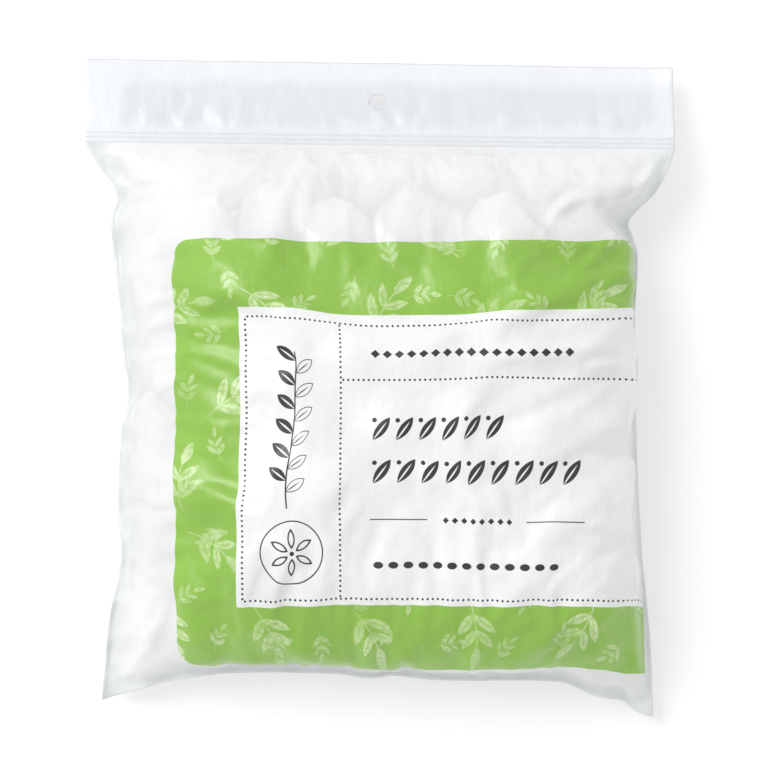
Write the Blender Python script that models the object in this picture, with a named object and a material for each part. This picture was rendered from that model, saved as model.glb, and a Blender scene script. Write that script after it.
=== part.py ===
"""A sealed, filled pillow bag of cotton balls, lying on its back.

The bag is one closed solid: two film sheets welded along both sides and the bottom, a press-to-close
zip across the whole width, and above it a flat header with a round hang hole. The balls inside press
the film into soft lumps. X runs across the bag, +Y towards the header and +Z out of the printed front.
The origin is the centre of the flat patch that the bag rests on. Sizes are in metres.
"""

import math
import random

import bmesh
import bpy
from mathutils import Vector, noise

# Outer sizes of the filled bag, seen from the front.
BAG_WIDTH = 0.2205
BODY_LENGTH = 0.2125
BODY_BELOW_ORIGIN = 0.1055
HEADER_HEIGHT = 0.0275
FRONT_RISE = 0.0365
BACK_DEPTH = 0.0280

# Film and welds. The pair of films is thicker than the real 0.12 mm, so that it is a sound solid.
FILM_PAIR = 0.0006
SIDE_SEAL = 0.0030
BOTTOM_SEAL = 0.0035

# Zip: ribs pressed into both films, across the whole width.
ZIP_RIBS = 3
ZIP_RIB_PITCH = 0.0017
ZIP_RIB_HEIGHT = 0.0006

# Hang hole.
HOLE_DIAMETER = 0.0064
HOLE_ABOVE_ZIP = 0.0115
HOLE_FROM_MIDDLE = -0.0007
HOLE_SIDES = 24
PUNCH_DEPTH = 0.0180
FLAT_AROUND_HOLE = 0.0220

# Height of the welded edge above the surface that the bag lies on, and how it droops.
SEAM_HEIGHT = 0.0215
CORNER_DROOP = 0.0130
CORNER_DROOP_REACH = 0.0300
LEFT_HEADER_DROOP = 0.0060
MIDDLE_HEADER_DROOP = 0.0090
RIGHT_HEADER_DROOP = 0.0140
LEFT_BOTTOM_CORNER_OUT = -0.0030
RIGHT_BOTTOM_CORNER_OUT = 0.0030
RIGHT_ZIP_DROP = 0.0028

# How far the filling stays from each edge, over what distance the film rises to its full height,
# and how blunt that rise is: 0.5 is a quarter ellipse, 1 a parabola.
LEFT_RISE = (0.0060, 0.0640, 0.72)
RIGHT_RISE = (0.0030, 0.0500, 0.52)
BOTTOM_RISE = (0.0035, 0.0480, 0.55)
TOP_RISE = (0.0010, 0.0760, 0.84)

# Welded edges drawn in by the filling: (share of the edge, distance drawn in).
LEFT_DRAWN_IN = (
    (0.00, 0.0050), (0.15, 0.0086), (0.26, 0.0134), (0.35, 0.0123), (0.50, 0.0138),
    (0.57, 0.0164), (0.62, 0.0141), (0.71, 0.0130), (0.82, 0.0102), (0.88, 0.0100),
    (0.91, 0.0128), (0.95, 0.0062), (1.00, 0.0000),
)
RIGHT_DRAWN_IN = (
    (0.00, 0.0070), (0.13, 0.0086), (0.28, 0.0120), (0.42, 0.0138), (0.58, 0.0146),
    (0.62, 0.0138), (0.68, 0.0152), (0.80, 0.0138), (0.84, 0.0146), (0.88, 0.0182),
    (0.91, 0.0095), (0.96, 0.0030), (1.00, 0.0000),
)
BOTTOM_DRAWN_IN = (
    (0.00, 0.0000), (0.09, 0.0064), (0.16, 0.0103), (0.25, 0.0130), (0.43, 0.0137),
    (0.49, 0.0122), (0.52, 0.0138), (0.60, 0.0125), (0.84, 0.0129), (0.87, 0.0093),
    (0.90, 0.0069), (0.945, 0.0061), (0.97, 0.0012), (1.00, 0.0000),
)

# Cotton balls under the film.
BALL_DIAMETER = 0.0280
LUMP_RELIEF = 0.0042
LUMP_SPREAD = 0.0088
LUMP_MEAN = 0.6
BALL_SHIFT = 0.0045
BALL_SIZES = (0.75, 1.15)
BALL_ROWS = 5
BALL_SEED = 7

# Gathers that run in from the welded edges. A lane is the row of the noise that one weld's gathers read.
GATHER_DEPTH = 0.0022
GATHER_PITCH = 0.0110
GATHER_REACH = 0.0190
GATHER_LENGTH = 0.0570
GATHER_FADE_BELOW_ZIP = 0.0232
LEFT_LANE, RIGHT_LANE, BOTTOM_LANE = 0.0, 5.0, 9.0

# Printed fields on the front, as distances from the left edge, the right edge and the bottom edge.
PANEL_LEFT = 0.0330
PANEL_RIGHT_MARGIN = 0.0075
PANEL_UP = (0.0130, 0.1800)
INSET_LEFT = 0.0580
INSET_UP = (0.0380, 0.1520)

# Largest cell of the film's grid.
CELL = 0.0058

BALL_ROW_PITCH = BALL_DIAMETER * math.sqrt(3) / 2
ZIP_HEIGHT = ZIP_RIBS * ZIP_RIB_PITCH
HEADER_TOP = BODY_LENGTH + ZIP_HEIGHT + HEADER_HEIGHT
PANEL_ACROSS = (PANEL_LEFT, BAG_WIDTH - PANEL_RIGHT_MARGIN)

FRONT, BACK = 1, -1
FILM, GREEN_PRINT, WHITE_PRINT = range(3)


def smooth_step(low, high, value):
    """0 below low, 1 above high and a smooth rise between them."""
    share = min(max((value - low) / (high - low), 0.0), 1.0)
    return share * share * (3 - 2 * share)


def along(points, share):
    """The value at share of a smooth curve through (share, value) points."""
    for index in range(len(points) - 1):
        if share <= points[index + 1][0]:
            break
    before = points[max(index - 1, 0)]
    start, end = points[index], points[index + 1]
    after = points[min(index + 2, len(points) - 1)]
    span = end[0] - start[0]
    part = (share - start[0]) / span
    start_slope = (end[1] - before[1]) / (end[0] - before[0])
    end_slope = (after[1] - start[1]) / (after[0] - start[0])
    return (
        start[1] * (1 + 2 * part) * (1 - part) ** 2
        + end[1] * (3 - 2 * part) * part**2
        + start_slope * span * part * (1 - part) ** 2
        - end_slope * span * part**2 * (1 - part)
    )


def edge_rise(distance, rise):
    """Share of the full height at this distance in from a welded edge."""
    margin, reach, bluntness = rise
    share = min(max((distance - margin) / reach, 0.0), 1.0)
    return (1 - (1 - share) ** 2) ** bluntness


def stations(breaks):
    """Grid lines through every break, with no cell larger than CELL."""
    lines = [breaks[0]]
    for low, high in zip(breaks, breaks[1:]):
        cells = max(1, math.ceil((high - low) / CELL))
        lines += [low + (high - low) * (step + 1) / cells for step in range(cells)]
    return lines


def across_stations():
    panel_left, panel_right = PANEL_ACROSS
    return stations((0, SIDE_SEAL, panel_left, INSET_LEFT, panel_right, BAG_WIDTH - SIDE_SEAL, BAG_WIDTH))


def up_stations():
    """Grid lines from the bottom weld to the top of the header, with each zip rib's foot and crest."""
    body = stations((0, BOTTOM_SEAL, PANEL_UP[0], INSET_UP[0], INSET_UP[1], PANEL_UP[1], BODY_LENGTH))
    rib_lines = [BODY_LENGTH + ZIP_RIB_PITCH * half / 2 for half in range(1, 2 * ZIP_RIBS + 1)]
    header = stations((BODY_LENGTH + ZIP_HEIGHT, HEADER_TOP))
    return body + rib_lines + header[1:]


def plan_place(across, up):
    """Where a point of the flat film lies, seen from the front."""
    share_across = across / BAG_WIDTH
    share_up = min(up / BODY_LENGTH, 1.0)
    left = -BAG_WIDTH / 2 + along(LEFT_DRAWN_IN, share_up)
    right = BAG_WIDTH / 2 - along(RIGHT_DRAWN_IN, share_up)
    corner_out = LEFT_BOTTOM_CORNER_OUT + (RIGHT_BOTTOM_CORNER_OUT - LEFT_BOTTOM_CORNER_OUT) * share_across
    bottom = along(BOTTOM_DRAWN_IN, share_across) - corner_out
    x = left + (right - left) * share_across
    y = bottom + (BODY_LENGTH - bottom) * share_up
    if up > BODY_LENGTH:
        y += up - BODY_LENGTH
    return x, y - BODY_BELOW_ORIGIN - RIGHT_ZIP_DROP * share_across * share_up


def header_droop(x):
    """How much lower the header's top edge lies than the zip."""
    half = BAG_WIDTH / 2
    flat = FLAT_AROUND_HOLE / 2
    droop = MIDDLE_HEADER_DROOP
    droop += (LEFT_HEADER_DROOP - MIDDLE_HEADER_DROOP) * smooth_step(flat, half, -x)
    droop += (RIGHT_HEADER_DROOP - MIDDLE_HEADER_DROOP) * smooth_step(flat, half, x)
    return droop


def header_share(up):
    """0 at the top of the zip and 1 at the header's top edge."""
    return min(max((up - BODY_LENGTH - ZIP_HEIGHT) / HEADER_HEIGHT, 0.0), 1.0)


def seam_height(x, across, up):
    """Height of the plane where the two films meet."""
    height = SEAM_HEIGHT
    for corner in (0.0, BAG_WIDTH):
        away = math.hypot(across - corner, up)
        height -= CORNER_DROOP * math.exp(-((away / CORNER_DROOP_REACH) ** 2))
    return height - header_droop(x) * header_share(up)


def fullness(across, up):
    """How far the film has risen to the full thickness of the filling, from 0 to 1."""
    return (
        edge_rise(across, LEFT_RISE)
        * edge_rise(BAG_WIDTH - across, RIGHT_RISE)
        * edge_rise(up, BOTTOM_RISE)
        * edge_rise(BODY_LENGTH - up, TOP_RISE)
    )


def gathers(across, up):
    """Folds in both films that run in from the side and bottom welds and die out."""
    if up > BODY_LENGTH:
        return 0.0
    depth = 0.0
    for distance, place, lane in (
        (across, up, LEFT_LANE),
        (BAG_WIDTH - across, up, RIGHT_LANE),
        (up, across, BOTTOM_LANE),
    ):
        fold = noise.noise(Vector((place / GATHER_PITCH, distance / GATHER_LENGTH, lane)))
        near_edge = math.exp(-distance / GATHER_REACH)
        depth += GATHER_DEPTH * 2 * fold * near_edge
    return depth * smooth_step(0, GATHER_FADE_BELOW_ZIP, BODY_LENGTH - up)


def ball_places(side):
    """Centres of the balls that touch one film, in staggered rows, each a little out of its place."""
    shuffle = random.Random(BALL_SEED + side)
    places = []
    for row in range(-BALL_ROWS, BALL_ROWS + 1):
        stagger = BALL_DIAMETER / 2 * (row % 2)
        for column in range(-BALL_ROWS, BALL_ROWS + 1):
            x = column * BALL_DIAMETER + stagger + shuffle.uniform(-BALL_SHIFT, BALL_SHIFT)
            y = row * BALL_ROW_PITCH + shuffle.uniform(-BALL_SHIFT, BALL_SHIFT)
            size = shuffle.uniform(*BALL_SIZES)
            places.append((x, y, size))
    return places


def lumps(x, y, places):
    """Height of the film over the balls beneath it, about 0 on average."""
    height = 0.0
    for ball_x, ball_y, size in places:
        away = (x - ball_x) ** 2 + (y - ball_y) ** 2
        height += size * math.exp(-away / (2 * LUMP_SPREAD**2))
    return LUMP_RELIEF * (height - LUMP_MEAN)


def zip_rib(up):
    """Height of a zip rib: full on its crest and 0 at its foot and anywhere else."""
    step = (up - BODY_LENGTH) / ZIP_RIB_PITCH
    if not 0 < step < ZIP_RIBS:
        return 0.0
    return ZIP_RIB_HEIGHT * (1 - abs(2 * (step % 1) - 1))


def film_point(across, up, side, places):
    """A point of the front or back film of the filled bag."""
    x, y = plan_place(across, up)
    seam = seam_height(x, across, up) + gathers(across, up)
    filled = fullness(across, up)
    reach = FRONT_RISE if side == FRONT else BACK_DEPTH
    bulge = filled * reach + filled * lumps(x, y, places)
    away = max(bulge, 0.0) + FILM_PAIR / 2 + zip_rib(up)
    z = seam + side * away
    if side == BACK:
        z = min(max(z, 0.0), seam - FILM_PAIR / 2)
    return Vector((x, y, z))


def print_of(across, up):
    """Which print covers a cell of the front film."""
    if not (PANEL_ACROSS[0] < across < PANEL_ACROSS[1] and PANEL_UP[0] < up < PANEL_UP[1]):
        return FILM
    if across > INSET_LEFT and INSET_UP[0] < up < INSET_UP[1]:
        return WHITE_PRINT
    return GREEN_PRINT


def plastic(name, colour, roughness, alpha=1.0):
    """A film or ink finish."""
    material = bpy.data.materials.new(name)
    material.use_nodes = True
    shader = material.node_tree.nodes["Principled BSDF"]
    shader.inputs["Base Color"].default_value = (*colour, 1.0)
    shader.inputs["Roughness"].default_value = roughness
    shader.inputs["Metallic"].default_value = 0.0
    shader.inputs["Alpha"].default_value = alpha
    material.diffuse_color = (*colour, 1.0)
    return material


def film_slab(columns, rows):
    """A thin closed slab of grid cells, and its front vertices. Each vertex holds its place in the grid."""
    mesh = bmesh.new()
    bmesh.ops.create_grid(mesh, x_segments=columns, y_segments=rows, size=0.5)
    bmesh.ops.recalc_face_normals(mesh, faces=mesh.faces)
    if mesh.faces[:][0].normal.z > 0:
        bmesh.ops.reverse_faces(mesh, faces=mesh.faces)
    raised = bmesh.ops.extrude_face_region(mesh, geom=mesh.faces[:] + mesh.edges[:] + mesh.verts[:])
    front = {part for part in raised["geom"] if isinstance(part, bmesh.types.BMVert)}
    return mesh, front


def build_bag(collection):
    """The filled bag as one solid, before its hang hole is cut."""
    across_lines, up_lines = across_stations(), up_stations()
    columns, rows = len(across_lines) - 1, len(up_lines) - 1
    mesh, front = film_slab(columns, rows)
    places = {side: ball_places(side) for side in (FRONT, BACK)}
    middles = {}
    for vertex in mesh.verts:
        column = round((vertex.co.x + 0.5) * columns)
        row = round((vertex.co.y + 0.5) * rows)
        middles[vertex] = Vector((across_lines[column], up_lines[row]))
    for face in mesh.faces:
        if not all(vertex in front for vertex in face.verts):
            continue
        middle = sum((middles[vertex] for vertex in face.verts), Vector((0, 0))) / len(face.verts)
        face.material_index = print_of(middle.x, middle.y)
    for vertex, flat in middles.items():
        side = FRONT if vertex in front else BACK
        vertex.co = film_point(flat.x, flat.y, side, places[side])
    bmesh.ops.recalc_face_normals(mesh, faces=mesh.faces)
    data = bpy.data.meshes.new("cotton_ball_bag")
    mesh.to_mesh(data)
    mesh.free()
    for polygon in data.polygons:
        polygon.use_smooth = True
    data.materials.append(plastic("milky_film", (0.90, 0.92, 0.94), 0.35))
    data.materials.append(plastic("green_print", (0.35, 0.62, 0.12), 0.40))
    data.materials.append(plastic("white_print", (0.93, 0.94, 0.94), 0.40))
    bag = bpy.data.objects.new("cotton_ball_bag", data)
    collection.objects.link(bag)
    return bag


def hole_place():
    """Centre of the hang hole and the header's normal there."""
    up = BODY_LENGTH + ZIP_HEIGHT + HOLE_ABOVE_ZIP
    across = BAG_WIDTH / 2 + HOLE_FROM_MIDDLE
    x, y = plan_place(across, up)
    centre = Vector((x, y, seam_height(x, across, up)))
    slope = MIDDLE_HEADER_DROOP / HEADER_HEIGHT
    return centre, Vector((0, slope, 1)).normalized()


def cut_hang_hole(bag, cutters):
    centre, normal = hole_place()
    bpy.ops.mesh.primitive_cylinder_add(
        vertices=HOLE_SIDES, radius=HOLE_DIAMETER / 2, depth=PUNCH_DEPTH, location=centre
    )
    punch = bpy.context.object
    punch.name = "hole_punch"
    punch.rotation_mode = "QUATERNION"
    punch.rotation_quaternion = normal.to_track_quat("Z", "X")
    punch.hide_render = True
    punch.display_type = "WIRE"
    for owner in list(punch.users_collection):
        owner.objects.unlink(punch)
    cutters.objects.link(punch)
    cut = bag.modifiers.new("hang_hole", "BOOLEAN")
    cut.operation = "DIFFERENCE"
    cut.object = punch


def main():
    for obj in list(bpy.data.objects):
        bpy.data.objects.remove(obj)
    parts = bpy.data.collections.new("cotton_ball_bag")
    cutters = bpy.data.collections.new("cutters")
    for collection in (parts, cutters):
        bpy.context.scene.collection.children.link(collection)
    bag = build_bag(parts)
    cut_hang_hole(bag, cutters)


main()
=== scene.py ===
"""The looks of a filled zip bag of cotton balls, lying on its back: milky film that the balls press into
lumps, puckered welds, a ribbed zip, a creased header with a hang hole, printed fields, and the balls."""

import math
import random
from itertools import product

import bmesh
import bpy
import numpy as np
from mathutils import Matrix, Vector, noise
from mathutils.bvhtree import BVHTree


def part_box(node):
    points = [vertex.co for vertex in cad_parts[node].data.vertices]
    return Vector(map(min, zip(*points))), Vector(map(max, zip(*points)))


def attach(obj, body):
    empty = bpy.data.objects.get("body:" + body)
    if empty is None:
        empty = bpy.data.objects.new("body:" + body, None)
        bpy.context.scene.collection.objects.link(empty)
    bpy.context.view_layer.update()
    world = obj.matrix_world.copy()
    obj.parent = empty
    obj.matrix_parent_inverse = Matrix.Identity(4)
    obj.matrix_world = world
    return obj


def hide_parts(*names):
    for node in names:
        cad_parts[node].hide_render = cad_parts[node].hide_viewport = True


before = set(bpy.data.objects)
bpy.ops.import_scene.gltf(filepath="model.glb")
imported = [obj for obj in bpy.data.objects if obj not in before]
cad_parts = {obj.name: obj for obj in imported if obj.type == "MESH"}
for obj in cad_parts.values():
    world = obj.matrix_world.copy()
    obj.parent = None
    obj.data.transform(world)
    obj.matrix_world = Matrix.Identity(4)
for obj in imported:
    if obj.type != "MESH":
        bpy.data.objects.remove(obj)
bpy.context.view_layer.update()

BAG_NODE = "cotton_ball_bag"
BODY = "root"

# The film's grid: across the bag, and up from the bottom weld to the header's top edge.
FILM_WIDTH = 0.2240
FILM_BODY = 0.2230
ZIP_HEIGHT = 0.0051
HEADER_HEIGHT = 0.0275
FILM_TOP = FILM_BODY + ZIP_HEIGHT + HEADER_HEIGHT
SEAL_WIDTH = 0.0030
FILM_CELL = 0.0025

# The bag seen from the front: its bottom corners, the zip's line and the hang hole.
LEFT_CORNER = Vector((-0.1052, -0.1024))
RIGHT_CORNER = Vector((0.1032, -0.1084))
ZIP_LINE_Y = 0.1070
ZIP_DROP_TO_RIGHT = 0.0028
ZIP_RIBS = 3
ZIP_RIB_PITCH = ZIP_HEIGHT / ZIP_RIBS
EDGE_INSET = 0.0001
WELD_POINTS = 0.00001
RAY_START = 0.05
EDGE_STRIDE = 0.0005
EDGE_HALVINGS = 8
RAY_NUDGES = ((0, 0), (0.00003, 0.00002), (-0.00003, -0.00002), (0.00002, -0.00003))
SEAM_HEIGHT = 0.0215
HOLE_CENTRE = Vector((-0.0007, 0.1222, 0.0177))
HOLE_DIAMETER = 0.0064
HOLE_NORMAL = Vector((0.0, 0.311, 0.950))

# The film's cloth simulation, run at ten times the real size, where Blender's cloth is steady.
SIM_SCALE = 10.0
SIM_FRAMES = 22
SIM_STEPS = 6
SIM_PRESSURE = 0.6
SIM_GAP = 0.0004
SIM_REACH = 0.0045
SIM_THICKNESS = 0.002
SIM_BENDING = 0.12
SIM_GROWTH_AT_WELDS = 0.13
LOOSE_REACH = 0.0300
HELD_BELOW_ZIP = 0.0120
SIM_GROWTH_ALL_OVER = 0.045

# The header's crinkles above the zip, its rolling top and its bent corner.
CRINKLE_PATCHES = ((-0.0610, 0.0160), (0.0130, 0.0170), (0.0840, 0.0120))
CRINKLE_PITCH = 0.0042
CRINKLE_LENGTH = 0.0110
CRINKLE_START = 0.0012
CRINKLE_DEPTH = 0.0024
HEADER_WAVE_PITCH = 0.0480
HEADER_WAVE = 0.0026
HOLE_FLAT = 0.0140
DOG_EAR_PLACE = Vector((0.1100, 0.1340))
DOG_EAR_REACH = 0.0090
DOG_EAR_LIFT = 0.0035

# Long folds: start, bend and end seen from the front, half width and height.
CREASE_STEPS = 25
CREASES = (
    (Vector((0.0930, 0.0800)), Vector((0.0700, 0.0960)), Vector((0.0590, 0.0700)), 0.0022, 0.0026),
    (Vector((0.1050, 0.0960)), Vector((0.0850, 0.0860)), Vector((0.0620, 0.0920)), 0.0024, 0.0020),
    (Vector((0.0920, 0.0790)), Vector((0.0850, 0.0680)), Vector((0.0700, 0.0560)), 0.0022, 0.0020),
    (Vector((0.1080, 0.1030)), Vector((0.0980, 0.0960)), Vector((0.0930, 0.0800)), 0.0020, 0.0018),
    (Vector((0.0950, 0.0600)), Vector((0.0850, 0.0560)), Vector((0.0790, 0.0480)), 0.0022, 0.0016),
    (Vector((0.0960, -0.0300)), Vector((0.0860, -0.0360)), Vector((0.0760, -0.0340)), 0.0024, 0.0016),
    (Vector((-0.1060, 0.1010)), Vector((-0.0990, 0.0960)), Vector((-0.0900, 0.0820)), 0.0024, 0.0018),
    (Vector((-0.0950, 0.0180)), Vector((-0.0860, 0.0140)), Vector((-0.0740, 0.0190)), 0.0026, 0.0016),
    (Vector((-0.0040, -0.0920)), Vector((-0.0010, -0.0800)), Vector((-0.0080, -0.0690)), 0.0026, 0.0018),
    (Vector((0.0960, 0.0200)), Vector((0.0850, 0.0260)), Vector((0.0760, 0.0220)), 0.0026, 0.0014),
    (Vector((-0.0960, -0.0920)), Vector((-0.0850, -0.0800)), Vector((-0.0780, -0.0640)), 0.0026, 0.0014),
    (Vector((0.0940, -0.0980)), Vector((0.0850, -0.0860)), Vector((0.0800, -0.0700)), 0.0026, 0.0014),
)
REST_CLEARANCE = 0.0002

# The cotton balls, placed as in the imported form.
BALL_DIAMETER = 0.0280
BALL_SHIFT = 0.0045
BALL_SEED = 7
BALL_ROWS = 5
BALL_ROW_PITCH = BALL_DIAMETER * math.sqrt(3) / 2
BALL_CLEAR = 0.0090
BALL_LEAST_ROOM = 0.0120
BALL_PRESSED = 0.0018
BALL_INSET = 0.0012
BALL_DRAW_STEPS = 20
BALL_TUFTS = 0.10
BALL_FUZZ = 0.035

# Print, in millimetres on the bag seen from the front.
PRINT_SOFT = 0.08
PANEL = ((-74.4, -85.4), (125.0, 69.3))
PANEL_CORNER = 6.0
PANEL_RIGHT = 93.4
PANEL_RIGHT_SLANT = 0.034
SAG_FROM = 40.0
SAG_REACH = 55.0
PRINT_SAG = 0.055
INSET = ((-51.6, -62.2), (120.0, 44.0))
DOT_RADIUS = 0.42
DOT_PITCH = 1.82
DOTS_LEFT, DOTS_MIDDLE = -49.4, -14.2
DOTS_TOP, DOTS_CROSS, DOTS_FOOT = 40.2, 18.3, -60.0
RING_CENTRE = (-31.6, -43.2)
RING_RADIUS = 11.2
RING_LINE = 0.24
TWIG_X = -32.6
TWIG_LOW = -22.5
TWIG_LEAVES = 6
TWIG_LEAF_PITCH = 8.4
SPRIG_SWAY = 7.0

GREEN = (0.262, 0.500, 0.060, 1.0)
PALE_GREEN = (0.640, 0.780, 0.420, 1.0)
INK = (0.017, 0.015, 0.016, 1.0)
FILM_WHITE = (0.925, 0.932, 0.928, 1.0)
HEADER_WHITE = (0.860, 0.880, 0.920, 1.0)
# Painted shade: grey laid on bare film near the welds, where no ball lies under it and the hollow behind is in
# shade.
PAINTED_SHADE_GREY = (0.800, 0.828, 0.835, 1.0)
# Painted highlight: white of the glints where the crinkled header film catches the light.
PAINTED_GLINT_WHITE = (0.960, 0.965, 0.975, 1.0)
BAND_GREY = (0.775, 0.805, 0.840, 1.0)
INSET_WHITE = (0.930, 0.945, 0.930, 1.0)
COTTON_WHITE = (0.930, 0.928, 0.910, 1.0)

WELD_LINE = 1.3
EMPTY_MARGIN = 9.0
BODY_COVER = 0.74
HEADER_COVER = 0.62

FLOOR_WHITE = (0.680, 0.680, 0.680, 1.0)
FLOOR_GLOW = 0.34

CAMERA_PLACE = Vector((0.0009, 0.0176, 1.3))
VIEW_WIDTH = 0.2830
VIEW_HEIGHT_ABOVE_FLOOR = 0.0300
SENSOR = 36.0

FRONT, BACK = 1, -1


class FilledShape:
    """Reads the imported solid's form: its front, its back and its edges seen from the front."""

    def __init__(self, node):
        solid = bmesh.new()
        solid.from_mesh(node.data)
        bmesh.ops.remove_doubles(solid, verts=solid.verts, dist=WELD_POINTS)
        self.tree = BVHTree.FromBMesh(solid, epsilon=WELD_POINTS)
        solid.free()
        self.low, self.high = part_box(node.name)

    def height(self, x, y, side):
        """Height of the front or back face at a place seen from the front, or None off the bag."""
        start_z = self.high.z + RAY_START if side == FRONT else self.low.z - RAY_START
        heights = []
        for nudge_x, nudge_y in RAY_NUDGES:
            hit = self.tree.ray_cast(Vector((x + nudge_x, y + nudge_y, start_z)), Vector((0, 0, -side)))[0]
            if hit is not None:
                heights.append(hit.z)
        if not heights:
            return None
        return max(heights) if side == FRONT else min(heights)

    def covers(self, x, y):
        return self.height(x, y, FRONT) is not None

    def edge(self, outside, inside):
        """The first place of the bag on the way from a place off it to its middle."""
        outside, inside = Vector(outside), Vector(inside)
        stride = (inside - outside).normalized() * EDGE_STRIDE
        while not self.covers(*(outside + stride)):
            outside += stride
        inside = outside + stride
        for _ in range(EDGE_HALVINGS):
            middle = (outside + inside) / 2
            if self.covers(*middle):
                inside = middle
            else:
                outside = middle
        return inside


def stations(breaks, cell=FILM_CELL):
    """Grid lines through every break, with no cell larger than cell."""
    lines = [breaks[0]]
    for low, high in zip(breaks, breaks[1:]):
        cells = max(1, math.ceil((high - low) / cell))
        lines += [low + (high - low) * (step + 1) / cells for step in range(cells)]
    return lines


class FilmPlan:
    """Where each point of the film's grid lies on the filled bag, seen from the front."""

    def __init__(self, shape, across_lines, up_lines):
        middle_x = (LEFT_CORNER.x + RIGHT_CORNER.x) / 2
        self.left, self.right, self.bottom = {}, {}, {}
        for up in up_lines:
            share = min(up / FILM_BODY, 1.0)
            past_zip = max(up - FILM_BODY, 0.0)
            if up == up_lines[-1]:
                past_zip -= EDGE_INSET
            left_y = LEFT_CORNER.y + (ZIP_LINE_Y - LEFT_CORNER.y) * share + past_zip
            right_y = RIGHT_CORNER.y + (ZIP_LINE_Y - ZIP_DROP_TO_RIGHT - RIGHT_CORNER.y) * share + past_zip
            self.left[up] = shape.edge((shape.low.x - 0.01, left_y), (middle_x, left_y))
            self.right[up] = shape.edge((shape.high.x + 0.01, right_y), (middle_x, right_y))
        for across in across_lines:
            x = LEFT_CORNER.x + (RIGHT_CORNER.x - LEFT_CORNER.x) * across / FILM_WIDTH
            self.bottom[across] = shape.edge((x, shape.low.y - 0.01), (x, 0.0))
        self.left[up_lines[0]] = self.bottom[across_lines[0]] = LEFT_CORNER
        self.right[up_lines[0]] = self.bottom[across_lines[-1]] = RIGHT_CORNER

    def place(self, across, up):
        share = across / FILM_WIDTH
        place = self.left[up].lerp(self.right[up], share)
        straight = LEFT_CORNER.lerp(RIGHT_CORNER, share)
        return place + (self.bottom[across] - straight) * (1 - min(up / FILM_BODY, 1.0))


def film_lines():
    """The film's grid lines across and up, with close rows at the zip's ribs."""
    across = stations((0, SEAL_WIDTH, FILM_WIDTH - SEAL_WIDTH, FILM_WIDTH))
    body = stations((0, SEAL_WIDTH, FILM_BODY))
    ribs = [FILM_BODY + ZIP_RIB_PITCH * quarter / 4 for quarter in range(1, 4 * ZIP_RIBS + 1)]
    header = stations((FILM_BODY + ZIP_HEIGHT, FILM_TOP))
    return across, body + ribs + header[1:]


def film_height(shape, place, side, on_edge):
    """The height of one film at a place; at the bag's edge the two films meet halfway."""
    heights = [shape.height(place.x, place.y, side)]
    if on_edge:
        heights.append(shape.height(place.x, place.y, -side))
    heights = [height for height in heights if height is not None]
    if heights:
        return sum(heights) / len(heights)
    return shape.tree.find_nearest(Vector((place.x, place.y, SEAM_HEIGHT)))[0].z


def film_mesh(shape):
    """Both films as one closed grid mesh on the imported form, and each point's side and place in the grid."""
    across_lines, up_lines = film_lines()
    plan = FilmPlan(shape, across_lines, up_lines)
    last_column, last_row = len(across_lines) - 1, len(up_lines) - 1
    mesh = bmesh.new()
    plan_map = mesh.loops.layers.uv.new("plan")
    flat_map = mesh.loops.layers.uv.new("flat")
    grid = {}
    for side, (row, up), (column, across) in product((FRONT, BACK), enumerate(up_lines), enumerate(across_lines)):
        on_edge = row in (0, last_row) or column in (0, last_column)
        if side == BACK and on_edge:
            grid[side, row, column] = grid[FRONT, row, column]
            continue
        place = plan.place(across, up)
        height = film_height(shape, place, side, on_edge)
        grid[side, row, column] = mesh.verts.new((place.x, place.y, height))
    for side, row, column in product((FRONT, BACK), range(last_row), range(last_column)):
        corners = [(row, column), (row, column + 1), (row + 1, column + 1), (row + 1, column)]
        if side == BACK:
            corners.reverse()
        face = mesh.faces.new([grid[side, *corner] for corner in corners])
        face.material_index = 0 if side == FRONT else 1
        face.smooth = True
        for loop, (corner_row, corner_column) in zip(face.loops, corners):
            loop[plan_map].uv = loop.vert.co.xy
            loop[flat_map].uv = (across_lines[corner_column], up_lines[corner_row])
    mesh.verts.index_update()
    flat = np.zeros((len(mesh.verts), 3))
    for (side, row, column), vertex in grid.items():
        flat[vertex.index] = (across_lines[column], up_lines[row], side)
    data = bpy.data.meshes.new("film")
    mesh.to_mesh(data)
    mesh.free()
    return data, flat


def mesh_points(data):
    points = np.empty(len(data.vertices) * 3)
    data.vertices.foreach_get("co", points)
    return points.reshape(-1, 3)


def set_mesh_points(data, points):
    data.vertices.foreach_set("co", points.ravel())
    data.update()


def scaled_copy(name, data, scale):
    """A copy of a mesh as a new object, larger or smaller about the origin."""
    copy = data.copy()
    copy.transform(Matrix.Scale(scale, 4))
    piece = bpy.data.objects.new(name, copy)
    bpy.context.scene.collection.objects.link(piece)
    return piece


def remove_piece(piece):
    data = piece.data
    bpy.data.objects.remove(piece)
    bpy.data.meshes.remove(data)


def weight_group(piece, name, weights):
    group = piece.vertex_groups.new(name=name)
    for index, weight in enumerate(weights):
        group.add([index], float(weight), "REPLACE")


def rise(low, high, values):
    """0 below low, 1 above high and a smooth rise between them."""
    share = np.clip((values - low) / (high - low), 0, 1)
    return share * share * (3 - 2 * share)


def edge_distance(flat):
    """Distance of each grid point from the nearest side or bottom weld."""
    across, up = flat[:, 0], flat[:, 1]
    return np.minimum(np.minimum(across, FILM_WIDTH - across), up)


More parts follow.
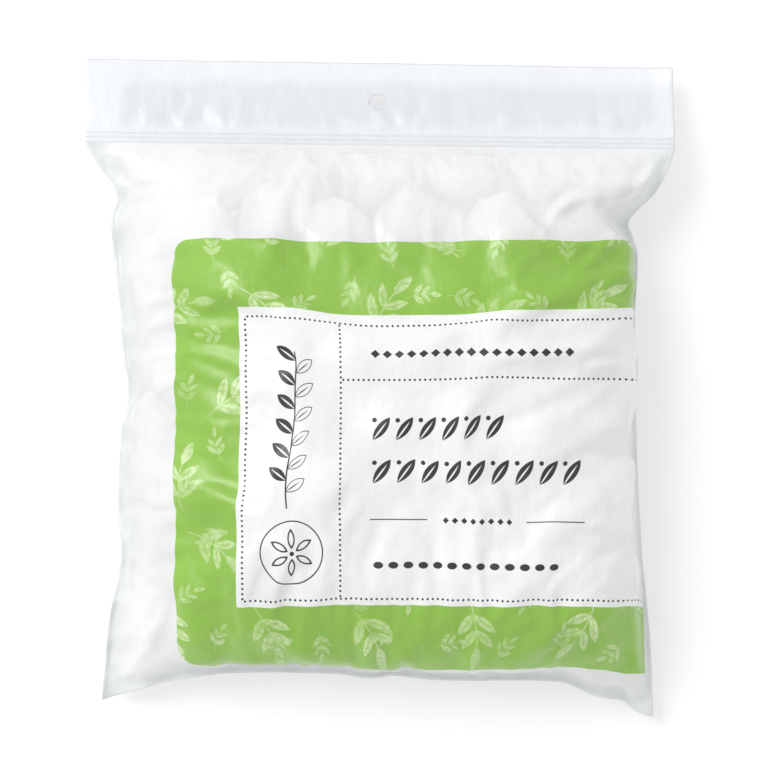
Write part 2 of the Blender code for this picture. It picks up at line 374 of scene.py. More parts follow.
def settle_film(data, flat, solid):
    """Lets the film, cut a little large, swell off the filling and crumple between its welds."""
    start = mesh_points(data)
    normals = np.array([vertex.normal for vertex in data.vertices])
    free = rise(0.0015, 0.0060, edge_distance(flat)) * rise(0.0010, HELD_BELOW_ZIP, FILM_BODY - flat[:, 1])
    set_mesh_points(data, start + normals * SIM_GAP * free[:, None])
    film = scaled_copy("settling_film", data, SIM_SCALE)
    core = scaled_copy("filling", solid.data, SIM_SCALE)
    core.modifiers.new("collision", "COLLISION")
    core.collision.thickness_outer = SIM_THICKNESS
    weight_group(film, "held", 1 - free)
    weight_group(film, "loose", np.exp(-edge_distance(flat) / LOOSE_REACH))
    cloth = film.modifiers.new("cloth", "CLOTH")
    cloth.settings.quality = SIM_STEPS
    cloth.settings.mass = 0.15
    cloth.settings.tension_stiffness = 20
    cloth.settings.compression_stiffness = 20
    cloth.settings.shear_stiffness = 8
    cloth.settings.bending_stiffness = SIM_BENDING
    cloth.settings.vertex_group_mass = "held"
    cloth.settings.vertex_group_shrink = "loose"
    cloth.settings.shrink_min = -SIM_GROWTH_ALL_OVER
    cloth.settings.shrink_max = -SIM_GROWTH_AT_WELDS
    cloth.settings.use_pressure = True
    cloth.settings.uniform_pressure_force = SIM_PRESSURE
    cloth.settings.effector_weights.gravity = 0
    cloth.collision_settings.distance_min = SIM_THICKNESS
    cloth.point_cache.frame_end = SIM_FRAMES
    for step in range(1, SIM_FRAMES + 1):
        bpy.context.scene.frame_set(step)
    settled = film.evaluated_get(bpy.context.evaluated_depsgraph_get())
    moved = mesh_points(settled.data) / SIM_SCALE - start
    bpy.context.scene.frame_set(1)
    remove_piece(film)
    remove_piece(core)
    length = np.linalg.norm(moved, axis=1, keepdims=True)
    moved *= np.minimum(1, SIM_REACH / np.maximum(length, 1e-9))
    set_mesh_points(data, start + moved)


def crinkle_header(data, flat):
    """Upright crinkles where the filling pulls on the zip, a rolling top edge and the bent top corner."""
    points = mesh_points(data)
    above_zip = flat[:, 1] - FILM_BODY - ZIP_HEIGHT
    in_header = np.clip(above_zip / HEADER_HEIGHT, 0, 1)
    for index, (point, above, share) in enumerate(zip(points, above_zip, in_header)):
        if above <= 0:
            continue
        x = point[0]
        patches = sum(math.exp(-(((x - middle) / half) ** 2)) for middle, half in CRINKLE_PATCHES)
        crinkle = noise.noise(Vector((x / CRINKLE_PITCH, above / CRINKLE_LENGTH, 3.0)))
        fade = min(above / CRINKLE_START, 1.0) * math.exp(-above / CRINKLE_LENGTH)
        wave = noise.noise(Vector((x / HEADER_WAVE_PITCH, above / HEADER_WAVE_PITCH, 8.0)))
        near_hole = math.exp(-(((x - HOLE_CENTRE.x) / HOLE_FLAT) ** 2))
        lift = CRINKLE_DEPTH * crinkle * fade * (0.35 + patches)
        lift += HEADER_WAVE * wave * share * (1 - near_hole)
        corner = Vector((DOG_EAR_PLACE.x - x, DOG_EAR_PLACE.y - point[1])).length
        lift += DOG_EAR_LIFT * max(0.0, 1 - corner / DOG_EAR_REACH) ** 2
        points[index][2] += lift
    set_mesh_points(data, points)


def press_creases(data, flat):
    """Long folds in the front film that run in from the right weld and from under the zip."""
    points = mesh_points(data)
    plan = points[:, :2]
    free = rise(0.0005, 0.0080, edge_distance(flat)) * rise(0.0005, 0.0080, FILM_BODY - flat[:, 1])
    lift = np.zeros(len(points))
    for start, bend, end, width, height in CREASES:
        near = np.full(len(points), 9.0)
        for share in np.linspace(0, 1, CREASE_STEPS):
            way = start * (1 - share) ** 2 + bend * 2 * share * (1 - share) + end * share**2
            taper = 0.35 + 0.65 * math.sin(math.pi * (0.12 + 0.80 * share))
            gap = np.linalg.norm(plan - np.array(way), axis=1) / (width * taper)
            near = np.minimum(near, gap)
        lift += height * (np.exp(-(near**2)) - 0.45 * np.exp(-(((near - 1.7) / 0.8) ** 2)))
    points[:, 2] += lift * free * (flat[:, 2] > 0)
    set_mesh_points(data, points)


def with_modifiers(piece):
    """The piece's mesh with its modifiers made real, so that none is left."""
    evaluated = piece.evaluated_get(bpy.context.evaluated_depsgraph_get())
    data = bpy.data.meshes.new_from_object(evaluated)
    piece.modifiers.clear()
    piece.data = data


def punch_hole(film):
    bpy.ops.mesh.primitive_cylinder_add(vertices=40, radius=HOLE_DIAMETER / 2, depth=0.02, location=HOLE_CENTRE)
    punch = bpy.context.object
    punch.rotation_mode = "QUATERNION"
    punch.rotation_quaternion = HOLE_NORMAL.to_track_quat("Z", "X")
    cut = film.modifiers.new("hole", "BOOLEAN")
    cut.operation = "DIFFERENCE"
    cut.solver = "EXACT"
    cut.object = punch
    with_modifiers(film)
    remove_piece(punch)


def build_film(shape, solid, finishes):
    data, flat = film_mesh(shape)
    for finish in finishes:
        data.materials.append(finish)
    settle_film(data, flat, solid)
    press_creases(data, flat)
    crinkle_header(data, flat)
    points = mesh_points(data)
    points[:, 2] = np.maximum(points[:, 2], REST_CLEARANCE)
    set_mesh_points(data, points)
    film = bpy.data.objects.new("film", data)
    bpy.context.scene.collection.objects.link(film)
    smooth = film.modifiers.new("smooth", "SUBSURF")
    smooth.levels = smooth.render_levels = 1
    with_modifiers(film)
    punch_hole(film)
    return film


def ball_places(side):
    """Centres of the balls that touch one film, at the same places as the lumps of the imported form."""
    shuffle = random.Random(BALL_SEED + side)
    places = []
    for row in range(-BALL_ROWS, BALL_ROWS + 1):
        stagger = BALL_DIAMETER / 2 * (row % 2)
        for column in range(-BALL_ROWS, BALL_ROWS + 1):
            x = column * BALL_DIAMETER + stagger + shuffle.uniform(-BALL_SHIFT, BALL_SHIFT)
            y = row * BALL_ROW_PITCH + shuffle.uniform(-BALL_SHIFT, BALL_SHIFT)
            places.append((x, y, shuffle.uniform(0.75, 1.15)))
    return places


def ball_fits(shape, x, y):
    """Whether the bag is wide and thick enough for a ball here."""
    for step in range(8):
        angle = math.tau * step / 8
        if not shape.covers(x + BALL_CLEAR * math.cos(angle), y + BALL_CLEAR * math.sin(angle)):
            return False
    return shape.height(x, y, FRONT) - shape.height(x, y, BACK) > BALL_LEAST_ROOM


def inside_film(shape, centre, reach):
    """A point of a ball, drawn in towards the ball's middle until the films on both sides leave it room."""
    for step in range(BALL_DRAW_STEPS):
        share = 1 - step / BALL_DRAW_STEPS
        point = centre + Vector((reach.x * share, reach.y * share, reach.z))
        front = shape.height(point.x, point.y, FRONT)
        back = shape.height(point.x, point.y, BACK)
        if front is not None and back is not None and front - back > 4 * BALL_INSET:
            break
    point.z = min(max(point.z, back + BALL_INSET), front - BALL_INSET)
    return point


def build_balls(shape):
    """The cotton balls that lie against the film, pressed flat where they touch it."""
    mesh = bmesh.new()
    for side in (FRONT, BACK):
        for number, (x, y, size) in enumerate(ball_places(side)):
            if not (shape.covers(x, y) and ball_fits(shape, x, y)):
                continue
            radius = BALL_DIAMETER / 2 * (0.80 + 0.20 * size)
            film_z = shape.height(x, y, side)
            centre = Vector((x, y, film_z - side * (radius - BALL_PRESSED)))
            ball = bmesh.ops.create_icosphere(mesh, subdivisions=3, radius=1.0)
            for vertex in ball["verts"]:
                way = vertex.co.normalized()
                seed = Vector((number * 7.3, side * 5.1, 0))
                fuzz = 1 + BALL_TUFTS * noise.noise(way * 2.2 + seed) + BALL_FUZZ * noise.noise(way * 7 + seed)
                vertex.co = inside_film(shape, centre, way * radius * fuzz)
    for face in mesh.faces:
        face.smooth = True
    data = bpy.data.meshes.new("cotton_balls")
    mesh.to_mesh(data)
    mesh.free()
    balls = bpy.data.objects.new("cotton_balls", data)
    bpy.context.scene.collection.objects.link(balls)
    return balls


class Nodes:
    """Short calls for building a node tree."""

    def __init__(self, tree):
        self.tree = tree

    def add(self, kind, **settings):
        node = self.tree.nodes.new(kind)
        for name, value in settings.items():
            setattr(node, name, value)
        return node

    def put(self, value, socket):
        if isinstance(value, bpy.types.NodeSocket):
            self.tree.links.new(value, socket)
        else:
            socket.default_value = value

    def math(self, operation, *values):
        node = self.add("ShaderNodeMath", operation=operation)
        for value, socket in zip(values, node.inputs):
            self.put(value, socket)
        return node.outputs[0]

    def mix(self, share, first, second):
        node = self.add("ShaderNodeMix", data_type="RGBA")
        self.put(share, node.inputs[0])
        self.put(first, node.inputs[6])
        self.put(second, node.inputs[7])
        return node.outputs[2]

    def lerp(self, share, first, second):
        node = self.add("ShaderNodeMix", data_type="FLOAT")
        self.put(share, node.inputs[0])
        self.put(first, node.inputs[2])
        self.put(second, node.inputs[3])
        return node.outputs[0]

    def noise(self, vector, scale, detail=2.0, roughness=0.5):
        node = self.add("ShaderNodeTexNoise")
        self.put(vector, node.inputs["Vector"])
        node.inputs["Scale"].default_value = scale
        node.inputs["Detail"].default_value = detail
        node.inputs["Roughness"].default_value = roughness
        return node.outputs["Fac"]

    def all_of(self, *masks):
        total = masks[0]
        for mask in masks[1:]:
            total = self.math("MULTIPLY", total, mask)
        return total

    def any_of(self, *masks):
        total = masks[0]
        for mask in masks[1:]:
            total = self.math("MAXIMUM", total, mask)
        return total


class PrintNodes(Nodes):
    """Masks of simple printed shapes, in millimetres on the bag seen from the front."""

    def ink(self, distance, soft=PRINT_SOFT):
        """1 inside a shape and 0 outside it, from the distance to its edge."""
        node = self.add("ShaderNodeMapRange")
        self.put(distance, node.inputs["Value"])
        node.inputs["From Min"].default_value = soft
        node.inputs["From Max"].default_value = -soft
        return node.outputs["Result"]

    def off(self, value, middle):
        """Distance from a middle, either way."""
        return self.math("ABSOLUTE", self.math("SUBTRACT", value, middle))

    def length(self, x, y):
        squares = self.math("ADD", self.math("MULTIPLY", x, x), self.math("MULTIPLY", y, y))
        return self.math("SQRT", squares)

    def box(self, x, y, low, high, corner=0.0):
        """Distance to a box with round corners."""
        half_x, half_y = (high[0] - low[0]) / 2 - corner, (high[1] - low[1]) / 2 - corner
        out_x = self.math("SUBTRACT", self.off(x, (low[0] + high[0]) / 2), half_x)
        out_y = self.math("SUBTRACT", self.off(y, (low[1] + high[1]) / 2), half_y)
        outside = self.length(self.math("MAXIMUM", out_x, 0.0), self.math("MAXIMUM", out_y, 0.0))
        inside = self.math("MINIMUM", self.math("MAXIMUM", out_x, out_y), 0.0)
        return self.math("SUBTRACT", self.math("ADD", outside, inside), corner)

    def repeat(self, value, start, pitch):
        """The place inside a repeating cell, measured from the cell's middle."""
        past = self.math("SUBTRACT", value, start)
        return self.math("SUBTRACT", self.math("FLOORED_MODULO", past, pitch), pitch / 2)

    def turned(self, x, y, angle):
        """A place turned back by an angle, so that a shape drawn there is turned by it."""
        cosine, sine = self.math("COSINE", angle), self.math("SINE", angle)
        turned_x = self.math("ADD", self.math("MULTIPLY", x, cosine), self.math("MULTIPLY", y, sine))
        turned_y = self.math("SUBTRACT", self.math("MULTIPLY", y, cosine), self.math("MULTIPLY", x, sine))
        return turned_x, turned_y

    def leaf(self, x, y, length, width):
        """Distance to a pointed leaf that starts at 0 and lies along x."""
        radius = (length**2 + width**2) / (4 * width)
        middle_x = self.math("SUBTRACT", x, length / 2)
        deep_y = self.math("ADD", self.math("ABSOLUTE", y), radius - width / 2)
        return self.math("SUBTRACT", self.length(middle_x, deep_y), radius)

    def dots(self, along, across, start, end, pitch, radius):
        """A row of round dots."""
        step = self.repeat(along, start, pitch)
        dot = self.ink(self.math("SUBTRACT", self.length(step, across), radius))
        inside = self.math("LESS_THAN", self.off(along, (start + end) / 2), (end - start) / 2)
        return self.math("MULTIPLY", dot, inside)

    def row(self, shape, along, start, end):
        """A repeating shape, kept to whole cells between two ends."""
        inside = self.math("LESS_THAN", self.off(along, (start + end) / 2), (end - start) / 2)
        return self.math("MULTIPLY", self.ink(shape), inside)


def crumple_group():
    """Fine crumples and uneven milkiness of thin film, shared by both films."""
    tree = bpy.data.node_groups.new("film_crumple", "ShaderNodeTree")
    tree.interface.new_socket("Normal", in_out="OUTPUT", socket_type="NodeSocketVector")
    tree.interface.new_socket("Haze", in_out="OUTPUT", socket_type="NodeSocketFloat")
    nodes = Nodes(tree)
    place = nodes.add("ShaderNodeTexCoord").outputs["Object"]
    stretched = nodes.add("ShaderNodeMapping")
    nodes.put(place, stretched.inputs["Vector"])
    stretched.inputs["Scale"].default_value = (1.0, 0.45, 1.0)
    broad = nodes.noise(place, 70, 2, 0.55)
    fine = nodes.noise(stretched.outputs["Vector"], 330, 1, 0.6)
    height = nodes.math("ADD", nodes.math("MULTIPLY", broad, 1.0), nodes.math("MULTIPLY", fine, 0.28))
    bump = nodes.add("ShaderNodeBump")
    bump.inputs["Strength"].default_value = 0.75
    bump.inputs["Distance"].default_value = 0.0012
    nodes.put(height, bump.inputs["Height"])
    haze = nodes.math("MULTIPLY_ADD", nodes.noise(place, 45, 0), 0.16, -0.08)
    output = nodes.add("NodeGroupOutput")
    nodes.put(bump.outputs["Normal"], output.inputs["Normal"])
    nodes.put(haze, output.inputs["Haze"])
    return tree


def new_material(name):
    """A material with a Principled shader, and short calls on its nodes."""
    material = bpy.data.materials.new(name)
    material.use_nodes = True
    return material, PrintNodes(material.node_tree), material.node_tree.nodes["Principled BSDF"]


def finish_film(nodes, shader, crumple, cover):
    """Gives a film its crumples, its gloss and its cover, from clear at 0 to opaque at 1."""
    group = nodes.add("ShaderNodeGroup", node_tree=crumple)
    nodes.put(group.outputs["Normal"], shader.inputs["Normal"])
    hazy = nodes.math("ADD", cover, group.outputs["Haze"])
    nodes.put(nodes.math("MINIMUM", hazy, 1.0), shader.inputs["Alpha"])
    shader.inputs["Specular IOR Level"].default_value = 0.5
    shader.inputs["Coat Weight"].default_value = 0.35
    shader.inputs["Coat Roughness"].default_value = 0.16


def bare_film_group():
    """Colour and cover of bare film, shared by both films: milky over the balls, painted shade that greys it where
    no ball lies under it, blue grey in the header with painted highlights as bright upright streaks above the zip,
    and denser at the welds."""
    tree = bpy.data.node_groups.new("bare_film", "ShaderNodeTree")
    tree.interface.new_socket("Color", in_out="OUTPUT", socket_type="NodeSocketColor")
    tree.interface.new_socket("Cover", in_out="OUTPUT", socket_type="NodeSocketFloat")
    nodes = PrintNodes(tree)
    flat = nodes.add("ShaderNodeSeparateXYZ")
    nodes.put(nodes.add("ShaderNodeUVMap", uv_map="flat").outputs["UV"], flat.inputs["Vector"])
    across = nodes.math("MULTIPLY", flat.outputs["X"], 1000.0)
    up = nodes.math("MULTIPLY", flat.outputs["Y"], 1000.0)
    width, body, top = FILM_WIDTH * 1000, FILM_BODY * 1000, FILM_TOP * 1000
    place = nodes.add("ShaderNodeTexCoord").outputs["Object"]
    header = nodes.math("GREATER_THAN", up, body)
    edge_away = nodes.math("MINIMUM", nodes.math("SUBTRACT", width / 2, nodes.off(across, width / 2)), up)
    weld = nodes.ink(nodes.math("SUBTRACT", edge_away, WELD_LINE), 0.35)
    ragged = nodes.math("MULTIPLY_ADD", nodes.noise(place, 60, 2), 6.0, -3.0)
    # Painted shade: this mask greys the film near the welds, where no ball lies under it.
    empty = nodes.ink(nodes.math("ADD", nodes.math("SUBTRACT", edge_away, EMPTY_MARGIN), ragged), 7.0)
    band_box = nodes.box(across, nodes.math("ADD", up, ragged), (14.0, body + 7.0), (width - 8.0, top - 9.0), 4.0)
    band = nodes.math("MULTIPLY", nodes.ink(band_box, 2.2), 0.85)
    # Painted highlights: bright upright streaks above the zip, where crinkled film catches the light.
    stretched = nodes.add("ShaderNodeMapping")
    nodes.put(place, stretched.inputs["Vector"])
    stretched.inputs["Scale"].default_value = (1.0, 0.16, 1.0)
    painted_glints = nodes.math("MULTIPLY_ADD", nodes.noise(stretched.outputs["Vector"], 210, 1), 5.0, -2.6)
    painted_glints = nodes.math("MINIMUM", nodes.math("MAXIMUM", painted_glints, 0.0), 1.0)
    above_zip = nodes.box(across, up, (8.0, body + 5.5), (width - 8.0, body + 12.0), 3.0)
    painted_glints = nodes.math("MULTIPLY", painted_glints, nodes.ink(above_zip, 5.0))
    # Painted shade mixed into the body film near the welds.
    body_colour = nodes.mix(nodes.math("MULTIPLY", empty, 0.85), FILM_WHITE, PAINTED_SHADE_GREY)
    colour = nodes.mix(header, body_colour, nodes.mix(band, HEADER_WHITE, BAND_GREY))
    # Painted highlights mixed into the header above the zip.
    colour = nodes.mix(nodes.math("MULTIPLY", painted_glints, 0.75), colour, PAINTED_GLINT_WHITE)
    colour = nodes.mix(nodes.math("MULTIPLY", weld, 0.8), colour, BAND_GREY)
    cover = nodes.lerp(weld, nodes.lerp(header, BODY_COVER, HEADER_COVER), 0.92)
    output = nodes.add("NodeGroupOutput")
    nodes.put(colour, output.inputs["Color"])
    nodes.put(cover, output.inputs["Cover"])
    return tree


def plain_film_material(crumple, bare_film):
    material, nodes, shader = new_material("plain_film")
    bare = nodes.add("ShaderNodeGroup", node_tree=bare_film)
    nodes.put(bare.outputs["Color"], shader.inputs["Base Color"])
    shader.inputs["Roughness"].default_value = 0.32
    finish_film(nodes, shader, crumple, bare.outputs["Cover"])
    return material


def sprigs(nodes, x, y, pitch_x, pitch_y, size, lane):
    """Scattered sprigs of five leaves, each shifted and turned its own way, in staggered rows."""
    row = nodes.math("FLOOR", nodes.math("DIVIDE", y, pitch_y))
    shifted = nodes.math("MULTIPLY_ADD", nodes.math("FLOORED_MODULO", row, 2.0), pitch_x / 2, x)
    cell = nodes.add("ShaderNodeCombineXYZ")
    nodes.put(nodes.math("FLOOR", nodes.math("DIVIDE", shifted, pitch_x)), cell.inputs["X"])
    nodes.put(row, cell.inputs["Y"])
    cell.inputs["Z"].default_value = lane
    chance = nodes.add("ShaderNodeTexWhiteNoise", noise_dimensions="3D")
    nodes.put(cell.outputs["Vector"], chance.inputs["Vector"])
    draws = nodes.add("ShaderNodeSeparateColor")
    nodes.put(chance.outputs["Color"], draws.inputs["Color"])
    angle = nodes.math("MULTIPLY", chance.outputs["Value"], math.tau)
    sway_x = nodes.math("MULTIPLY_ADD", draws.outputs["Red"], SPRIG_SWAY, -SPRIG_SWAY / 2)
    sway_y = nodes.math("MULTIPLY_ADD", draws.outputs["Green"], SPRIG_SWAY, -SPRIG_SWAY / 2)
    local_x = nodes.math("ADD", nodes.repeat(shifted, 0.0, pitch_x), sway_x)
    local_y = nodes.math("ADD", nodes.repeat(y, 0.0, pitch_y), sway_y)
    along, aside = nodes.turned(local_x, local_y, angle)
    along, aside = nodes.math("DIVIDE", along, size), nodes.math("DIVIDE", aside, size)
    aside = nodes.math("ADD", aside, nodes.math("MULTIPLY", nodes.math("MULTIPLY", along, along), 0.02))
    mask = nodes.ink(nodes.box(along, aside, (-9.0, -0.16), (4.0, 0.16)))
    mirrored = nodes.math("ABSOLUTE", aside)
    for foot, length, width, lean in ((-5.5, 7.0, 2.4, 0.75), (-1.5, 6.0, 2.1, 0.70)):
        leaf_x, leaf_y = nodes.turned(nodes.math("SUBTRACT", along, foot), mirrored, lean)
        leaf = nodes.ink(nodes.leaf(leaf_x, leaf_y, length, width))
        vein = nodes.ink(nodes.leaf(leaf_x, leaf_y, length * 0.85, 0.35))
        mask = nodes.any_of(mask, nodes.math("SUBTRACT", leaf, nodes.math("MULTIPLY", vein, 0.6)))
    tip = nodes.leaf(nodes.math("SUBTRACT", along, 2.5), aside, 6.0, 2.4)
    return nodes.any_of(mask, nodes.ink(tip))


def plant_pattern(nodes, x, y):
    """Two scatters of sprigs in a worn, streaky pale ink."""
    wide = sprigs(nodes, x, y, 37.0, 30.0, 1.45, 1.0)
    small = sprigs(nodes, nodes.math("ADD", x, 9.0), nodes.math("ADD", y, 13.0), 21.0, 18.0, 0.70, 2.0)
    place = nodes.add("ShaderNodeTexCoord").outputs["Object"]
    worn = nodes.math("MULTIPLY_ADD", nodes.noise(place, 520, 2, 0.75), 3.0, -0.75)
    broad = nodes.math("MULTIPLY_ADD", nodes.noise(place, 38, 1), 2.2, -0.25)
    ink = nodes.math("MULTIPLY", nodes.any_of(wide, nodes.math("MULTIPLY", small, 0.8)), 0.95)
    ink = nodes.math("MULTIPLY", ink, nodes.math("MINIMUM", nodes.math("MAXIMUM", worn, 0.25), 1.0))
    return nodes.math("MULTIPLY", ink, nodes.math("MINIMUM", nodes.math("MAXIMUM", broad, 0.15), 1.0))


def dotted_frame(nodes, x, y):
    """The dotted lines that divide the white field."""
    right = PANEL_RIGHT + DOT_PITCH * 2
    below_top = nodes.math("SUBTRACT", y, DOTS_TOP)
    below_cross = nodes.math("SUBTRACT", y, DOTS_CROSS)
    above_foot = nodes.math("SUBTRACT", y, DOTS_FOOT)
    by_left = nodes.math("SUBTRACT", x, DOTS_LEFT)
    by_middle = nodes.math("SUBTRACT", x, DOTS_MIDDLE)
    return nodes.any_of(
        nodes.dots(x, below_top, DOTS_LEFT, right, DOT_PITCH, DOT_RADIUS),
        nodes.dots(x, above_foot, DOTS_LEFT, right, DOT_PITCH, DOT_RADIUS),
        nodes.dots(x, below_cross, DOTS_MIDDLE, right, DOT_PITCH, DOT_RADIUS),
        nodes.dots(y, by_left, DOTS_FOOT, DOTS_TOP, DOT_PITCH, DOT_RADIUS),
        nodes.dots(y, by_middle, DOTS_FOOT, DOTS_TOP, DOT_PITCH, DOT_RADIUS),
    )


def ring_and_rosette(nodes, x, y):
    """A thin ring around a rosette of six petals."""
    local_x = nodes.math("SUBTRACT", x, RING_CENTRE[0])
    local_y = nodes.math("SUBTRACT", y, RING_CENTRE[1])
    away = nodes.length(local_x, local_y)
    ring = nodes.ink(nodes.math("SUBTRACT", nodes.off(away, RING_RADIUS), RING_LINE))
    angle = nodes.math("ARCTAN2", local_y, local_x)
    petal_angle = nodes.repeat(angle, 0.0, math.tau / 6)
    along = nodes.math("MULTIPLY", away, nodes.math("COSINE", petal_angle))
    aside = nodes.math("MULTIPLY", away, nodes.math("SINE", petal_angle))
    petal = nodes.leaf(nodes.math("SUBTRACT", along, 1.6), aside, 7.0, 2.8)
    vein = nodes.leaf(nodes.math("SUBTRACT", along, 2.6), aside, 5.0, 1.7)
    outline = nodes.all_of(nodes.ink(petal), nodes.math("SUBTRACT", 1.0, nodes.ink(vein)))
    heart = nodes.ink(nodes.math("SUBTRACT", away, 0.8))
    return nodes.any_of(ring, outline, heart)


def twig(nodes, x, y):
    """A tall twig in ink, with solid leaves on its left and outlined leaves on its right."""
    bend = nodes.math("MULTIPLY", nodes.math("SINE", nodes.math("DIVIDE", y, 11.0)), 1.3)
    across = nodes.math("SUBTRACT", nodes.math("SUBTRACT", x, TWIG_X), bend)
    half = TWIG_LEAVES * TWIG_LEAF_PITCH / 2
    drawing = nodes.ink(nodes.box(across, y, (-0.28, TWIG_LOW - 5), (0.28, TWIG_LOW + 2 * half)))
    for flip, start in ((1.0, TWIG_LOW), (-1.0, TWIG_LOW + TWIG_LEAF_PITCH / 2)):
        step = nodes.math("ADD", nodes.repeat(y, start, TWIG_LEAF_PITCH), TWIG_LEAF_PITCH / 2 - 1.0)
        inside = nodes.math("LESS_THAN", nodes.off(y, start + half), half)
        leaf_x, leaf_y = nodes.turned(nodes.math("MULTIPLY", across, flip), step, 0.62)
        leaf = nodes.leaf(leaf_x, leaf_y, 8.4, 3.9)
        body = nodes.ink(leaf)
        if flip > 0:
            hollow = nodes.ink(nodes.math("ADD", leaf, 0.32))
            vein = nodes.ink(nodes.leaf(leaf_x, leaf_y, 6.6, 0.45))
            body = nodes.any_of(nodes.math("SUBTRACT", body, hollow), vein)
        else:
            body = nodes.all_of(body, nodes.math("SUBTRACT", 1.0, nodes.ink(nodes.leaf(leaf_x, leaf_y, 7.0, 0.6))))
        drawing = nodes.any_of(drawing, nodes.all_of(body, inside))
    return drawing


def lozenge_row(nodes, x, y, middle, start, count, pitch, reach):
    step = nodes.repeat(x, start, pitch)
    shape = nodes.math("SUBTRACT", nodes.math("ADD", nodes.off(step, 0.0), nodes.off(y, middle)), reach)
    return nodes.row(shape, x, start, start + count * pitch)


def leaf_band(nodes, x, y, middle, start, count, pitch, length, width):
    """A band of leaning leaves, each with a bare vein and a berry."""
    lean = 0.95
    step = nodes.math("ADD", nodes.repeat(x, start, pitch), length * math.cos(lean) / 2)
    height = nodes.math("SUBTRACT", y, middle - length * math.sin(lean) / 2)
    leaf_x, leaf_y = nodes.turned(step, height, lean)
    end = start + count * pitch
    leaves = nodes.row(nodes.leaf(leaf_x, leaf_y, length, width), x, start, end)
    vein = nodes.row(nodes.leaf(leaf_x, leaf_y, length * 0.8, 0.6), x, start, end)
    berry_away = nodes.length(nodes.repeat(x, start - pitch * 0.30, pitch), nodes.off(y, middle + length * 0.30))
    berries = nodes.row(nodes.math("SUBTRACT", berry_away, 0.85), x, start, end)
    return nodes.any_of(nodes.all_of(leaves, nodes.math("SUBTRACT", 1.0, vein)), berries)


def ornaments(nodes, x, y):
    """Rows of plain shapes: lozenges, two bands of leaves, two rules with a lozenge row between, and ovals."""
    step = nodes.repeat(x, -3.2, 5.25)
    oval = nodes.length(nodes.math("DIVIDE", step, 1.45), nodes.off(y, -48.2))
    return nodes.any_of(
        lozenge_row(nodes, x, y, 28.2, -4.0, 17, 4.25, 1.7),
        leaf_band(nodes, x, y, 0.8, -3.8, 6, 8.2, 10.4, 3.6),
        leaf_band(nodes, x, y, -15.0, -3.8, 9, 8.55, 10.8, 3.8),
        nodes.ink(nodes.box(x, y, (-3.6, -32.6), (16.4, -32.2))),
        nodes.ink(nodes.box(x, y, (52.6, -32.6), (72.8, -32.2))),
        lozenge_row(nodes, x, y, -32.4, 21.5, 8, 3.3, 1.15),
        nodes.row(nodes.math("SUBTRACT", oval, 1.2), x, -3.2, -3.2 + 13 * 5.25),
    )


def printed_film_material(crumple, bare_film):
    """The front film: clear margins, a green field with pale sprigs, and a white field with ink drawings."""
    material, nodes, shader = new_material("printed_film")
    plan = nodes.add("ShaderNodeUVMap", uv_map="plan").outputs["UV"]
    parts = nodes.add("ShaderNodeSeparateXYZ")
    nodes.put(plan, parts.inputs["Vector"])
    x = nodes.math("MULTIPLY", parts.outputs["X"], 1000.0)
    y = nodes.math("MULTIPLY", parts.outputs["Y"], 1000.0)
    to_right = nodes.math("MULTIPLY", nodes.math("MAXIMUM", nodes.math("SUBTRACT", x, SAG_FROM), 0.0), 1 / SAG_REACH)
    lower = nodes.math("MULTIPLY", nodes.math("MINIMUM", y, 0.0), -PRINT_SAG)
    y = nodes.math("ADD", y, nodes.math("MULTIPLY", lower, nodes.math("MULTIPLY", to_right, to_right)))
    below_top = nodes.math("SUBTRACT", PANEL[1][1], y)
    right_edge = nodes.math("MULTIPLY_ADD", below_top, PANEL_RIGHT_SLANT, PANEL_RIGHT)
    panel = nodes.ink(nodes.box(x, y, *PANEL, PANEL_CORNER))
    panel = nodes.all_of(panel, nodes.ink(nodes.math("SUBTRACT", x, right_edge)))
    inset = nodes.all_of(panel, nodes.ink(nodes.box(x, y, *INSET)))
    green = nodes.mix(plant_pattern(nodes, x, y), GREEN, PALE_GREEN)
    drawings = (dotted_frame(nodes, x, y), ring_and_rosette(nodes, x, y), ornaments(nodes, x, y), twig(nodes, x, y))
    marks = nodes.all_of(nodes.any_of(*drawings), inset)
    bare = nodes.add("ShaderNodeGroup", node_tree=bare_film)
    colour = nodes.mix(panel, bare.outputs["Color"], green)
    colour = nodes.mix(inset, colour, INSET_WHITE)
    colour = nodes.mix(marks, colour, INK)
    nodes.put(colour, shader.inputs["Base Color"])
    printed = nodes.any_of(marks, nodes.math("SUBTRACT", panel, inset))
    cover = nodes.lerp(panel, bare.outputs["Cover"], 0.88)
    cover = nodes.lerp(printed, cover, 0.96)
    nodes.put(nodes.lerp(printed, 0.30, 0.36), shader.inputs["Roughness"])
    finish_film(nodes, shader, crumple, cover)
    return material


def cotton_material():
    material, nodes, shader = new_material("cotton_wool")
    shader.inputs["Base Color"].default_value = COTTON_WHITE
    shader.inputs["Roughness"].default_value = 1.0
    shader.inputs["Specular IOR Level"].default_value = 0.1
    shader.inputs["Sheen Weight"].default_value = 0.5
    shader.inputs["Sheen Roughness"].default_value = 0.6
    place = nodes.add("ShaderNodeTexCoord").outputs["Object"]
    fibres = nodes.math("ADD", nodes.noise(place, 260, 2, 0.7), nodes.noise(place, 900, 1, 0.7))
    bump = nodes.add("ShaderNodeBump")
    bump.inputs["Strength"].default_value = 0.8
    bump.inputs["Distance"].default_value = 0.0012
    nodes.put(fibres, bump.inputs["Height"])
    nodes.put(bump.outputs["Normal"], shader.inputs["Normal"])
    return material


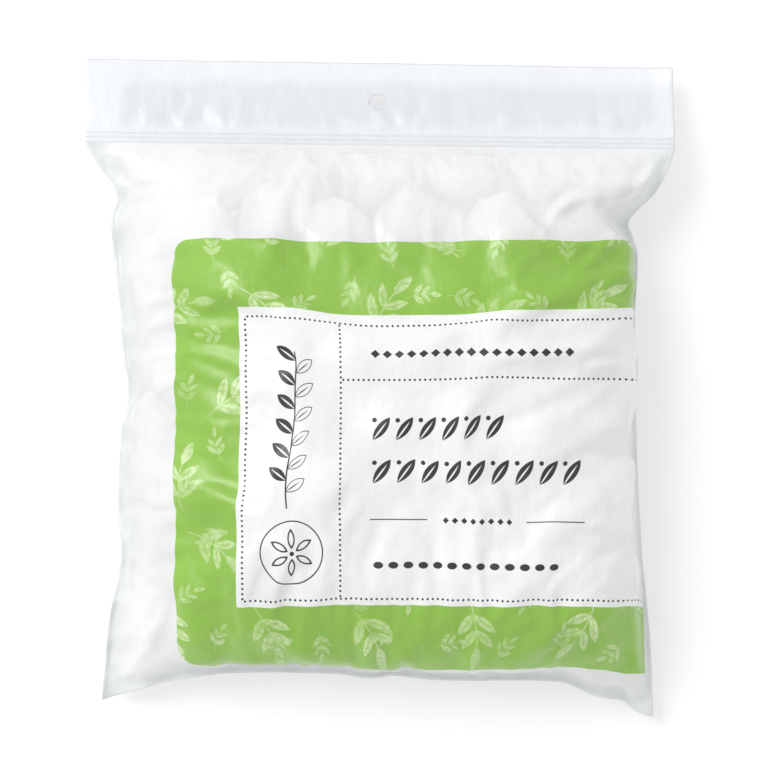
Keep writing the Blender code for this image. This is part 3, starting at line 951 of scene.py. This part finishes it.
def build_floor():
    bpy.ops.mesh.primitive_plane_add(size=6.0)
    floor = bpy.context.object
    floor.name = "floor"
    material, _, shader = new_material("pale_floor")
    shader.inputs["Base Color"].default_value = FLOOR_WHITE
    shader.inputs["Emission Color"].default_value = (1.0, 1.0, 1.0, 1.0)
    shader.inputs["Emission Strength"].default_value = FLOOR_GLOW
    shader.inputs["Roughness"].default_value = 1.0
    shader.inputs["Specular IOR Level"].default_value = 0.0
    floor.data.materials.append(material)


def light_scene():
    """Even white surroundings, a soft main light from the upper left and a strip that glints on the film."""
    scene = bpy.context.scene
    world = bpy.data.worlds.new("surroundings")
    world.use_nodes = True
    world.node_tree.nodes["Background"].inputs["Color"].default_value = (1.0, 1.0, 1.0, 1.0)
    world.node_tree.nodes["Background"].inputs["Strength"].default_value = 0.75
    scene.world = world
    sun = bpy.data.objects.new("main_light", bpy.data.lights.new("main_light", "SUN"))
    sun.data.energy = 1.25
    sun.data.angle = 0.55
    sun.rotation_euler = Vector((-0.55, 0.50, 0.80)).to_track_quat("Z", "Y").to_euler()
    scene.collection.objects.link(sun)
    strip = bpy.data.objects.new("strip_light", bpy.data.lights.new("strip_light", "AREA"))
    strip.data.shape = "RECTANGLE"
    strip.data.size = 0.22
    strip.data.size_y = 1.1
    strip.data.energy = 1.1
    strip.location = (-0.62, 0.15, 0.85)
    strip.rotation_euler = Vector((-0.62, 0.15, 0.85)).to_track_quat("Z", "Y").to_euler()
    scene.collection.objects.link(strip)
    scene.view_settings.view_transform = "Standard"


def place_camera():
    camera = bpy.data.objects.new("camera", bpy.data.cameras.new("camera"))
    camera.location = CAMERA_PLACE
    camera.data.sensor_width = SENSOR
    camera.data.lens = SENSOR * (CAMERA_PLACE.z - VIEW_HEIGHT_ABOVE_FLOOR) / VIEW_WIDTH
    bpy.context.scene.collection.objects.link(camera)
    bpy.context.scene.camera = camera


def main():
    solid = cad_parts[BAG_NODE]
    shape = FilledShape(solid)
    crumple = crumple_group()
    bare_film = bare_film_group()
    front_finish = printed_film_material(crumple, bare_film)
    back_finish = plain_film_material(crumple, bare_film)
    film = build_film(shape, solid, (front_finish, back_finish))
    balls = build_balls(shape)
    balls.data.materials.append(cotton_material())
    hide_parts(BAG_NODE)
    for piece in (film, balls):
        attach(piece, BODY)
    build_floor()
    light_scene()
    place_camera()


main()
